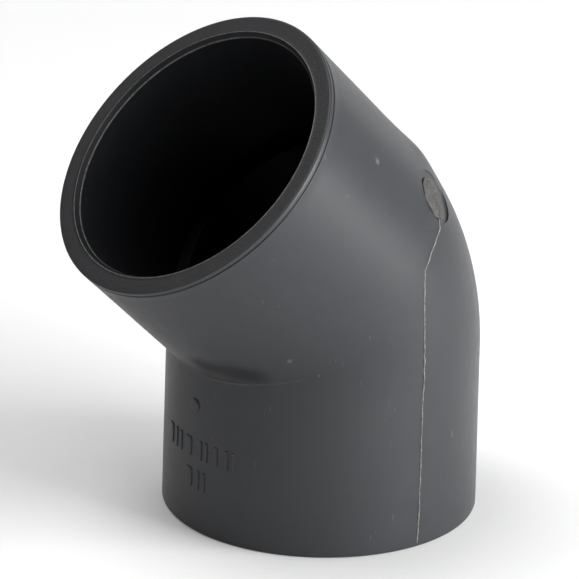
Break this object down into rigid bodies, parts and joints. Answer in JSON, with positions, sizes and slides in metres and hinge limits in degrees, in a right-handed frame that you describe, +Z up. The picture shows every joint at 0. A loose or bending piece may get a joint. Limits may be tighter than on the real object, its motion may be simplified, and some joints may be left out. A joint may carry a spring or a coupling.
{
  "type": "pipe elbow",
  "caption": "45 degree plain-socket pipe elbow in dark grey PVC-U that joins two pressure pipes with solvent cement, with a stop shoulder inside each socket.",
  "frame": {"origin": "middle of the bounding box in X and Y, on the end face of the lower socket, which the elbow stands on", "axes": "+Z up along the lower socket's axis; the bend lies in the XZ plane and the upper socket leans towards -X; Y is across the bend"},
  "size_m": [0.08, 0.0584, 0.0939],
  "materials": {
    "pvc": "satin moulded dark grey PVC-U"
  },
  "bodies": {
    "root": {"elbow_body": "pvc"}
  },
  "joints": []
}
